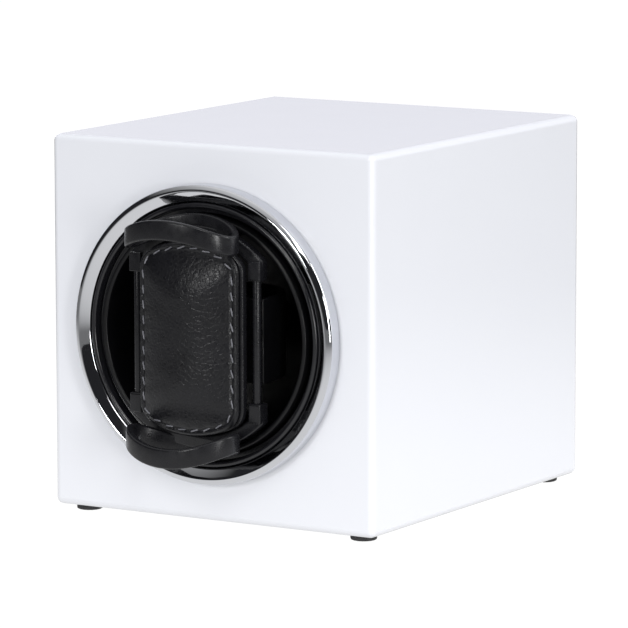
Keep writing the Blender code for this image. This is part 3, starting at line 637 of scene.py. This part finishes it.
def make_rods(plastic):
    """The two rods, as long and as thick as the CAD's."""
    for name, x in (("holder_rod_left", -ROD_X), ("holder_rod_right", ROD_X)):
        low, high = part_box(name)
        half = (high.z - low.z) / 2 / MM
        radius = (high.x - low.x) / 2 / MM
        matrix = FRONT @ Matrix.Translation((x * MM, 0.0, ROD_FORWARD * MM))
        shape = rod_shape(radius, half)
        add_piece(name + "_fine", shape, "holder", plastic, [name], matrix)


# ---------------------------------------------------------------- pad

PAD_HALF_WIDTH = (PAD_HIGH.x - PAD_LOW.x) / 2 / MM
PAD_HALF_HEIGHT = (PAD_HIGH.z - PAD_LOW.z) / 2 / MM
PAD_BACK = (FACE_Y - PAD_HIGH.y) / MM
PAD_ARC = 36.0
PAD_CORNER = 4.5
PAD_RIM = 1.9
PAD_CROWN = 17.1
STITCH_INSET = 1.9
STITCH_COUNT = 34
STITCH_LENGTH = 3.1
STITCH_SLANT = 13.0
THREAD_RADIUS = 0.27
CLOTH_SCALE = 10.0
CLOTH_FRAMES = 20
MOST_SWELL = 0.9
RIM_MARK = "rim"
EDGE_TURN = 0.9
EDGE_LIFT = 0.35
CROWN_POWER = 2.3
SEAM_DEPTH = 0.34
SEAM_WIDTH = 0.55
PUCKER_DEPTH = 0.10
PUCKER_REACH = 1.5
SLACK_DEPTH = 0.10
FOLD_DEPTH = 0.035
THREAD_RISE = 0.20
THREAD_DIP = 0.50
PLY_DEPTH = 0.16
PLY_TWIST = 5.0
SLANT_CHANGE = 10.0


def pad_outline(count):
    """Upright sides, arched top and bottom and round corners, in evenly spaced points from (width, 0)."""
    rise = PAD_ARC - math.sqrt(PAD_ARC ** 2 - PAD_HALF_WIDTH ** 2)
    side_top = PAD_HALF_HEIGHT - rise
    centre = PAD_HALF_HEIGHT - PAD_ARC
    edge_angle = math.degrees(math.asin((PAD_HALF_WIDTH - PAD_CORNER) / PAD_ARC))
    top = arc(PAD_ARC, 90 - edge_angle, 90 + edge_angle, 33, (0.0, centre))
    start = (PAD_HALF_WIDTH, side_top - PAD_CORNER)
    bend = (PAD_HALF_WIDTH, side_top)
    quarter = []
    for i in range(10):
        t = i / 10
        x = (1 - t) ** 2 * start[0] + 2 * t * (1 - t) * bend[0] + t * t * top[0][0]
        y = (1 - t) ** 2 * start[1] + 2 * t * (1 - t) * bend[1] + t * t * top[0][1]
        quarter.append((x, y))
    upper = [(PAD_HALF_WIDTH, 0.0)] + quarter + top + [(-x, y) for x, y in reversed(quarter)]
    return evenly(upper + [(-x, -y) for x, y in upper], count)


def evenly(points, count):
    """A closed outline's points again, at equal steps along it."""
    corners = [Vector(p) for p in points]
    corners.append(corners[0])
    lengths = [(b - a).length for a, b in zip(corners, corners[1:])]
    step = sum(lengths) / count
    made = []
    index = 0
    passed = 0.0
    for i in range(count):
        target = i * step
        while passed + lengths[index] < target:
            passed += lengths[index]
            index += 1
        made.append(corners[index].lerp(corners[index + 1], (target - passed) / lengths[index]))
    return made


def toward_spine(point, inset):
    """Move an outline point inwards by inset, towards the pad's upright middle line."""
    spine_half = PAD_HALF_HEIGHT - PAD_HALF_WIDTH
    spine = Vector((0.0, point.y * spine_half / PAD_HALF_HEIGHT))
    return point.lerp(spine, inset / PAD_HALF_WIDTH)


def leather_height(inset):
    """How far forward the leather is before it swells, at a distance in from the edge."""
    if inset < EDGE_TURN:
        return PAD_BACK + EDGE_LIFT + (PAD_RIM - EDGE_LIFT) * math.sin(math.pi / 2 * inset / EDGE_TURN)
    share = min(1.0, max(0.0, (inset - STITCH_INSET) / (PAD_HALF_WIDTH - STITCH_INSET)))
    rim = PAD_BACK + PAD_RIM
    return rim + (PAD_CROWN - rim) * (1 - (1 - share) ** CROWN_POWER)


def pad_cage():
    """The pad before it swells: a flat back, a thin sewn rim and a crowned front, in rings of quads."""
    outline = pad_outline(176)
    shape = bmesh.new()
    mark = shape.verts.layers.float.new(RIM_MARK)
    rings = []
    places = [(inset, PAD_BACK, 1.0) for inset in (PAD_HALF_WIDTH, 13.0, 7.0, 1.6, 0.3)]
    for inset in (0.0, 0.25, 0.55, 0.95, 1.4, 1.9, 2.4, 3.0, 3.8, 4.8, 6.0, 7.4, 9.0, 10.8, 12.7, 14.6, 16.5):
        places.append((inset, leather_height(inset), 1.0 if inset <= STITCH_INSET else 0.0))
    places.append((PAD_HALF_WIDTH, leather_height(PAD_HALF_WIDTH), 0.0))
    for inset, forward, held in places:
        ring = []
        for point in outline:
            flat = toward_spine(point, inset)
            vertex = shape.verts.new(Vector((flat.x, flat.y, forward)) * MM * CLOTH_SCALE)
            vertex[mark] = held
            ring.append(vertex)
        rings.append(ring)
    skin(shape, rings, closed=False)
    bmesh.ops.remove_doubles(shape, verts=shape.verts, dist=0.02 * MM * CLOTH_SCALE)
    bmesh.ops.recalc_face_normals(shape, faces=shape.faces)
    return shape


def swell(piece):
    """Cloth simulation: air pressure lifts the leather inside its stitched rim, which is held."""
    held = piece.vertex_groups.new(name="held")
    marks = piece.data.attributes[RIM_MARK].data
    held.add([i for i, mark in enumerate(marks) if mark.value > 0.5], 1.0, "REPLACE")
    cloth = piece.modifiers.new("cloth", "CLOTH")
    settings = cloth.settings
    settings.quality = 6
    settings.mass = 0.25
    settings.tension_stiffness = 12.0
    settings.compression_stiffness = 12.0
    settings.shear_stiffness = 6.0
    settings.bending_stiffness = 0.6
    settings.vertex_group_mass = held.name
    settings.use_pressure = True
    settings.uniform_pressure_force = 4.0
    settings.effector_weights.gravity = 0.0
    scene = bpy.context.scene
    for number in range(1, CLOTH_FRAMES + 1):
        scene.frame_set(number)
    evaluated = piece.evaluated_get(bpy.context.evaluated_depsgraph_get())
    swollen = [vertex.co.copy() for vertex in evaluated.data.vertices]
    piece.modifiers.remove(cloth)
    scene.frame_set(1)
    cap = MOST_SWELL * MM * CLOTH_SCALE
    for vertex, target in zip(piece.data.vertices, swollen):
        move = target - vertex.co
        if move.length > cap:
            move *= cap / move.length
        vertex.co += move


def apply_subdivision(piece, levels):
    modifier = piece.modifiers.new("subdivision", "SUBSURF")
    modifier.levels = levels
    modifier.render_levels = levels
    bpy.context.view_layer.update()
    evaluated = piece.evaluated_get(bpy.context.evaluated_depsgraph_get())
    mesh = bpy.data.meshes.new_from_object(evaluated)
    piece.modifiers.clear()
    piece.data = mesh


def sew(piece):
    """Pull the leather down along the stitches, pucker it between them and add slack and soft folds."""
    outline = pad_outline(STITCH_COUNT * 12)
    table = KDTree(len(outline))
    for index, point in enumerate(outline):
        table.insert((point.x, point.y, 0.0), index)
    table.balance()
    for vertex in piece.data.vertices:
        x, y, forward = vertex.co / MM
        if forward < PAD_BACK + 0.4:
            continue
        _, index, inset = table.find((x, y, 0.0))
        from_seam = inset - STITCH_INSET
        phase = 2 * math.pi * index * STITCH_COUNT / len(outline)
        ditch = -SEAM_DEPTH * math.exp(-(from_seam / SEAM_WIDTH) ** 2)
        pucker = -PUCKER_DEPTH * math.cos(phase) * math.exp(-abs(from_seam) / PUCKER_REACH)
        slack = SLACK_DEPTH * noise.noise(Vector((x / 9.0, y / 7.0, 3.0)))
        folds = FOLD_DEPTH * noise.noise(Vector((x / 2.2, y / 3.1, 8.0)))
        inside = min(1.0, max(0.0, from_seam / 3.0))
        vertex.co.z += (ditch + pucker + (slack + folds) * inside) * MM


def make_pad(leather, thread):
    """The leather pad: swollen as cloth at ten times its size, brought back, smoothed, sewn and stitched."""
    shape = pad_cage()
    mesh = bpy.data.meshes.new("leather_pad_cover")
    shape.to_mesh(mesh)
    shape.free()
    piece = bpy.data.objects.new("leather_pad_cover", mesh)
    bpy.context.scene.collection.objects.link(piece)
    swell(piece)
    piece.data.transform(Matrix.Scale(1 / CLOTH_SCALE, 4))
    apply_subdivision(piece, 2)
    sew(piece)
    piece.matrix_world = FRONT
    piece.data.materials.clear()
    piece.data.materials.append(leather)
    piece.data.shade_smooth()
    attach(piece, "holder")
    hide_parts("leather_pad")
    make_stitches(piece, thread)


def make_stitches(pad, thread):
    """Slanted stitches of twisted thread, each bowed up from one needle hole and down into the next."""
    outline = [toward_spine(point, STITCH_INSET) for point in pad_outline(STITCH_COUNT * 4)]
    places = [vertex.co for vertex in pad.data.vertices]
    tree = BVHTree.FromPolygons(places, [tuple(face.vertices) for face in pad.data.polygons])
    shape = bmesh.new()
    steps = 14
    sides = 8
    for number in range(STITCH_COUNT):
        middle = outline[number * 4]
        along = (outline[(number * 4 + 1) % len(outline)] - outline[number * 4 - 1]).normalized()
        slant = math.radians(STITCH_SLANT + SLANT_CHANGE * noise.noise(Vector((number * 1.7, 0.5, 2.0))))
        along = Vector((
            along.x * math.cos(slant) - along.y * math.sin(slant),
            along.x * math.sin(slant) + along.y * math.cos(slant),
        ))
        across = Vector((-along.y, along.x, 0.0))
        rings = []
        for step in range(steps + 1):
            t = 2 * step / steps - 1
            flat = middle + along * t * STITCH_LENGTH / 2
            hit = tree.ray_cast(Vector((flat.x, flat.y, 30.0)) * MM, Vector((0.0, 0.0, -1.0)))[0]
            centre = Vector((flat.x, flat.y, hit.z / MM + THREAD_RISE - THREAD_DIP * t ** 4))
            ring = []
            taper = math.sqrt(max(0.02, 1 - (abs(t) ** 3) * 0.75))
            for side in range(sides):
                angle = 2 * math.pi * side / sides
                plies = 1 + PLY_DEPTH * math.cos(2 * (angle - PLY_TWIST * t))
                radius = THREAD_RADIUS * taper * plies
                offset = across * math.cos(angle) + Vector((0.0, 0.0, 1.0)) * math.sin(angle)
                ring.append(shape.verts.new((centre + offset * radius) * MM))
            rings.append(ring)
        skin(shape, rings, closed=False)
        shape.faces.new(rings[0])
        shape.faces.new(rings[-1])
    add_piece("pad_stitches", shape, "holder", thread, angle=80.0)


# ---------------------------------------------------------------- copies of CAD pieces


def fine_copy(name, body, material, edge=0.0):
    """The CAD piece's own shape, welded, with its edges eased and its faces shaded as one smooth skin."""
    shape = bmesh.new()
    shape.from_mesh(NODES[name].data)
    bmesh.ops.remove_doubles(shape, verts=shape.verts, dist=0.000003)
    flat = math.radians(0.6)
    bmesh.ops.dissolve_limit(shape, angle_limit=flat, verts=shape.verts, edges=shape.edges)
    piece = add_piece(name + "_fine", shape, body, material, [name], Matrix.Identity(4))
    for layer in list(piece.data.attributes):
        if layer.name == "custom_normal":
            piece.data.attributes.remove(layer)
    if edge > 0.0:
        bevel = piece.modifiers.new("eased_edges", "BEVEL")
        bevel.width = edge
        bevel.segments = 2
        bevel.limit_method = "ANGLE"
        bevel.angle_limit = math.radians(50)
    weighted = piece.modifiers.new("even_shading", "WEIGHTED_NORMAL")
    weighted.keep_sharp = True


def paint(material, *names):
    """Give CAD pieces that stay as they are a finished material."""
    for name in names:
        node = NODES[name]
        for slot in node.material_slots:
            slot.material = material


BOARD_THICKNESS = 2.7
PEG_UP = 7.0
PEG_RADIUS = 2.8
PEG_BACK = 6.0
PEG_SUNK = 0.4


def make_board_and_bow(plastic, shaded_plastic):
    """The board under the pad, with a rounded rim and two pegs, and the bow behind it."""
    # The bow takes the cup's darker black: painted shade for the shadow it lies in behind the pad.
    fine_copy("holder_bow", "holder", shaded_plastic)
    low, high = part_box("pad_board")
    half_width = (high.x - low.x) / 2 / MM
    half_height = (high.z - low.z) / 2 / MM
    front = (FACE_Y - low.y) / MM
    back = front - BOARD_THICKNESS
    grow_x = half_width / PAD_HALF_WIDTH
    grow_y = half_height / PAD_HALF_HEIGHT
    outline = [(point.x * grow_x, point.y * grow_y) for point in pad_outline(200)]
    shape = extruded(counterclockwise(outline), back, front, 0.6, 4)
    for y in (-PEG_UP, PEG_UP):
        peg = [(x, y + dy) for x, dy in arc(PEG_RADIUS, 0.0, 345.0, 24)]
        merge(shape, extruded(peg, PEG_BACK, back + PEG_SUNK, 0.2, 2))
    add_piece("pad_board_fine", shape, "holder", plastic, ["pad_board"])


# ---------------------------------------------------------------- stage

FLOOR_HALF = 3.0
SOFT_LIGHT = 0.77
CAMERA_AZIMUTH = 31.15
CAMERA_ELEVATION = 8.49
CAMERA_ROLL = -0.09
CAMERA_RIGHT = 0.82944
CAMERA_BEFORE = 1.30848
CAMERA_UP = 0.30008
CAMERA_LENS = 283.0


def make_floor():
    """A floor that is near white to the camera; other rays see a painted pool of light that glows round the
    object and dims away from it.
    """
    mesh = bpy.data.meshes.new("floor")
    half = FLOOR_HALF
    corners = [(-half, -half, 0), (half, -half, 0), (half, half, 0), (-half, half, 0)]
    mesh.from_pydata(corners, [], [(0, 1, 2, 3)])
    floor = bpy.data.objects.new("floor", mesh)
    bpy.context.scene.collection.objects.link(floor)
    material = bpy.data.materials.new("floor")
    material.use_nodes = True
    tree = material.node_tree
    tree.nodes.clear()
    place = tree.nodes.new("ShaderNodeTexCoord")
    far = tree.nodes.new("ShaderNodeVectorMath")
    far.operation = "LENGTH"
    tree.links.new(place.outputs["Object"], far.inputs[0])
    # Painted pool of light: an emission seen by all but camera rays, bright near the object and fading away
    # from it.
    pool_falloff = tree.nodes.new("ShaderNodeMapRange")
    pool_falloff.interpolation_type = "SMOOTHSTEP"
    pool_falloff.inputs["From Min"].default_value = 0.12
    pool_falloff.inputs["From Max"].default_value = 0.62
    pool_falloff.inputs["To Min"].default_value = 0.80
    pool_falloff.inputs["To Max"].default_value = 0.20
    tree.links.new(far.outputs["Value"], pool_falloff.inputs["Value"])
    painted_light_pool = tree.nodes.new("ShaderNodeEmission")
    tree.links.new(pool_falloff.outputs["Result"], painted_light_pool.inputs["Strength"])
    white = tree.nodes.new("ShaderNodeEmission")
    white.inputs["Strength"].default_value = 1.12
    matte = tree.nodes.new("ShaderNodeBsdfDiffuse")
    matte.inputs["Color"].default_value = (0.30, 0.30, 0.30, 1.0)
    shaded = tree.nodes.new("ShaderNodeMixShader")
    shaded.inputs["Fac"].default_value = 0.90
    tree.links.new(matte.outputs["BSDF"], shaded.inputs[1])
    tree.links.new(white.outputs["Emission"], shaded.inputs[2])
    path = tree.nodes.new("ShaderNodeLightPath")
    seen = tree.nodes.new("ShaderNodeMixShader")
    tree.links.new(path.outputs["Is Camera Ray"], seen.inputs["Fac"])
    tree.links.new(painted_light_pool.outputs["Emission"], seen.inputs[1])
    tree.links.new(shaded.outputs["Shader"], seen.inputs[2])
    output = tree.nodes.new("ShaderNodeOutputMaterial")
    tree.links.new(seen.outputs["Shader"], output.inputs["Surface"])
    mesh.materials.append(material)


def make_world():
    """White behind the object and soft light all round.

    Glossy surfaces see a darker studio in front instead, and a bright ceiling.
    """
    world = bpy.data.worlds.new("studio")
    bpy.context.scene.world = world
    world.use_nodes = True
    tree = world.node_tree
    tree.nodes.clear()
    output = tree.nodes.new("ShaderNodeOutputWorld")
    path = tree.nodes.new("ShaderNodeLightPath")
    place = tree.nodes.new("ShaderNodeTexCoord")
    split = tree.nodes.new("ShaderNodeSeparateXYZ")
    tree.links.new(place.outputs["Generated"], split.inputs["Vector"])
    ramp = tree.nodes.new("ShaderNodeValToRGB")
    shift = tree.nodes.new("ShaderNodeMapRange")
    shift.inputs["From Min"].default_value = -1.0
    shift.inputs["From Max"].default_value = 1.0
    tree.links.new(split.outputs["Y"], shift.inputs["Value"])
    tree.links.new(shift.outputs["Result"], ramp.inputs["Fac"])
    ramp.color_ramp.elements[0].position = 0.62
    ramp.color_ramp.elements[0].color = (0.02, 0.02, 0.022, 1.0)
    ramp.color_ramp.elements[1].position = 0.80
    ramp.color_ramp.elements[1].color = (0.78, 0.78, 0.85, 1.0)
    soft = tree.nodes.new("ShaderNodeBackground")
    soft.inputs["Color"].default_value = (0.95, 0.96, 1.0, 1.0)
    soft.inputs["Strength"].default_value = SOFT_LIGHT
    studio = tree.nodes.new("ShaderNodeBackground")
    ceiling = tree.nodes.new("ShaderNodeMapRange")
    ceiling.inputs["From Min"].default_value = 0.50
    ceiling.inputs["From Max"].default_value = 0.90
    ceiling.inputs["To Max"].default_value = 0.80
    tree.links.new(split.outputs["Z"], ceiling.inputs["Value"])
    brighter = tree.nodes.new("ShaderNodeVectorMath")
    brighter.operation = "MAXIMUM"
    tree.links.new(ramp.outputs["Color"], brighter.inputs[0])
    tree.links.new(ceiling.outputs["Result"], brighter.inputs[1])
    tree.links.new(brighter.outputs["Vector"], studio.inputs["Color"])
    white = tree.nodes.new("ShaderNodeBackground")
    white.inputs["Color"].default_value = (1.0, 1.0, 1.0, 1.0)
    glossy = tree.nodes.new("ShaderNodeMixShader")
    seen = tree.nodes.new("ShaderNodeMixShader")
    tree.links.new(path.outputs["Is Glossy Ray"], glossy.inputs["Fac"])
    tree.links.new(soft.outputs["Background"], glossy.inputs[1])
    tree.links.new(studio.outputs["Background"], glossy.inputs[2])
    tree.links.new(path.outputs["Is Camera Ray"], seen.inputs["Fac"])
    tree.links.new(glossy.outputs["Shader"], seen.inputs[1])
    tree.links.new(white.outputs["Background"], seen.inputs[2])
    tree.links.new(seen.outputs["Shader"], output.inputs["Surface"])


def add_softbox(name, place, target, size, power):
    light = bpy.data.lights.new(name, "AREA")
    light.shape = "RECTANGLE"
    light.size = size[0]
    light.size_y = size[1]
    light.energy = power
    lamp = bpy.data.objects.new(name, light)
    bpy.context.scene.collection.objects.link(lamp)
    lamp.location = place
    lamp.rotation_euler = (Vector(target) - Vector(place)).to_track_quat("-Z", "Y").to_euler()
    lamp.visible_camera = False


def make_lights():
    """Soft boxes, all aimed at the middle of the front opening."""
    middle = (0.0, FACE_Y, AXIS_Z)
    add_softbox("key_box", (0.55, -0.75, 0.95), middle, (0.45, 0.45), 2.6)
    add_softbox("side_box", (1.20, 0.15, 0.62), middle, (0.30, 0.80), 5.3)
    add_softbox("front_box", (-0.22, -1.48, 0.40), middle, (0.26, 0.30), 4.4)
    add_softbox("near_box", (0.45, -0.37, 0.075), middle, (0.08, 0.13), 0.24)
    add_softbox("back_box", (-1.05, 0.95, 0.35), middle, (0.30, 0.50), 3.4)
    add_softbox("right_box", (0.95, -0.72, 0.22), middle, (0.16, 0.42), 2.0)


def make_camera():
    """The camera at the photograph's viewing angle."""
    azimuth = math.radians(CAMERA_AZIMUTH)
    elevation = math.radians(CAMERA_ELEVATION)
    roll = math.radians(CAMERA_ROLL)
    camera = bpy.data.objects.new("camera", bpy.data.cameras.new("camera"))
    bpy.context.scene.collection.objects.link(camera)
    place = Matrix.Translation((CAMERA_RIGHT, FACE_Y - CAMERA_BEFORE, CAMERA_UP))
    aim = Matrix.Rotation(azimuth, 4, "Z") @ Matrix.Rotation(math.pi / 2 - elevation, 4, "X")
    camera.matrix_world = place @ aim @ Matrix.Rotation(roll, 4, "Z")
    camera.data.sensor_width = 36.0
    camera.data.lens = CAMERA_LENS
    camera.data.clip_end = 20.0
    bpy.context.scene.camera = camera


def main():
    bpy.context.scene.view_settings.view_transform = "Standard"
    chrome = chrome_surface()
    gloss_black = gloss_black_surface()
    # The cup's black is darker than the rings': painted shade for the inside of the cup.
    cup_shaded_black = cup_painted_shade_surface()
    holder_black = holder_surface()
    grained_black = texture_black_surface()
    steel = steel_surface()
    zinc = steel_surface("zinc_plate", (0.46, 0.47, 0.49), 0.45)
    brass = steel_surface("brass", (0.70, 0.50, 0.22), 0.30)
    white_plastic = white_plastic_surface()
    rubber = rubber_surface()

    fine_copy("cabinet_shell", "cabinet", lacquer_surface())
    make_rings(chrome, gloss_black)
    make_cup(cup_shaded_black)
    fine_end("holder_end_top", 1, "end_top", holder_black)
    fine_end("holder_end_bottom", -1, "end_bottom", holder_black)
    make_rods(holder_black)
    make_board_and_bow(holder_black, cup_shaded_black)
    make_pad(leather_surface(), thread_surface())

    for name in ("foot_front_left", "foot_front_right", "foot_rear_left", "foot_rear_right"):
        fine_copy(name, "cabinet", rubber)
    fine_copy("rear_cover", "cabinet", grained_black, 0.0003)
    fine_copy("rocker_frame", "cabinet", grained_black)
    fine_copy("power_rocker", "rocker", gloss_black)
    fine_copy("mode_knob", "knob", grained_black, 0.0003)
    fine_copy("dc_inlet", "cabinet", zinc)
    for number in range(1, 5):
        fine_copy("cover_screw_%d" % number, "cabinet", steel)

    paint(grained_black, "chassis_plate")
    paint(brass, "shaft_bush", "motor_pinion")
    paint(zinc, "motor_bracket", "motor_gearbox", "mode_switch")
    paint(steel, "bracket_post_1", "bracket_post_2", "bracket_post_3", "motor_can", "drum_shaft")
    # The hub screw is drawn near black, much darker than the other steel.
    paint(steel_surface("near_black_steel", (0.012, 0.012, 0.014), 0.50), "hub_screw")
    paint(white_plastic, "drum_gear", "board_post_1", "board_post_2")
    paint(board_surface(), "circuit_board")
    paint(lead_surface(), "motor_lead")

    make_floor()
    make_world()
    make_lights()
    make_camera()


main()
